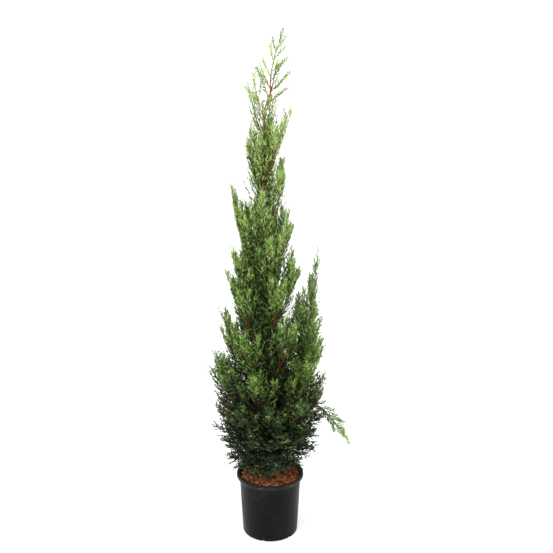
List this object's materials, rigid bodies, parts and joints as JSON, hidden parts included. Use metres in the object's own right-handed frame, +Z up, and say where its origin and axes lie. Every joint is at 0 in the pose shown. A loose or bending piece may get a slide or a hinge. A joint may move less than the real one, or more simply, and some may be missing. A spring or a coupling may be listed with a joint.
{
  "type": "potted leyland cypress",
  "caption": "Slim evergreen conifer in a black nursery pot: a tapering trunk, upswept boughs, feathery foliage, a leaning leader, an upright side leader and a low drooping branch.",
  "frame": {"origin": "centre of the pot's flat underside", "axes": "+Z up along the pot's axis, +X to the right of a viewer who stands at -Y"},
  "size_m": [0.6184, 0.4642, 2.1204],
  "materials": {
    "pot": "satin black, moulded",
    "mulch": "loose bark chips",
    "bark": "thin red-brown bark",
    "foliage": "scale-leaved sprays"
  },
  "bodies": {
    "root": {"pot": "pot", "bark_mulch": "mulch", "trunk": "bark", "bough_01": "bark", "bough_02": "bark", "bough_03": "bark", "bough_04": "bark", "bough_05": "bark", "bough_06": "bark", "bough_07": "bark", "bough_08": "bark", "bough_09": "bark", "bough_10": "bark", "bough_11": "bark", "bough_12": "bark", "bough_13": "bark", "bough_14": "bark", "bough_15": "bark", "bough_second_leader": "bark", "bough_drooping": "bark", "foliage_01": "foliage", "foliage_02": "foliage", "foliage_03": "foliage", "foliage_04": "foliage", "foliage_05": "foliage", "foliage_06": "foliage", "foliage_07": "foliage", "foliage_08": "foliage", "foliage_09": "foliage", "foliage_10": "foliage", "foliage_11": "foliage", "foliage_12": "foliage", "foliage_13": "foliage", "foliage_14": "foliage", "foliage_15": "foliage", "foliage_16": "foliage", "foliage_17": "foliage", "foliage_18": "foliage", "foliage_19": "foliage", "foliage_20": "foliage", "foliage_21": "foliage", "foliage_22": "foliage", "foliage_23": "foliage", "foliage_24": "foliage", "foliage_25": "foliage", "foliage_26": "foliage", "foliage_second_leader": "foliage", "foliage_drooping": "foliage", "foliage_leader": "foliage"}
  },
  "joints": []
}
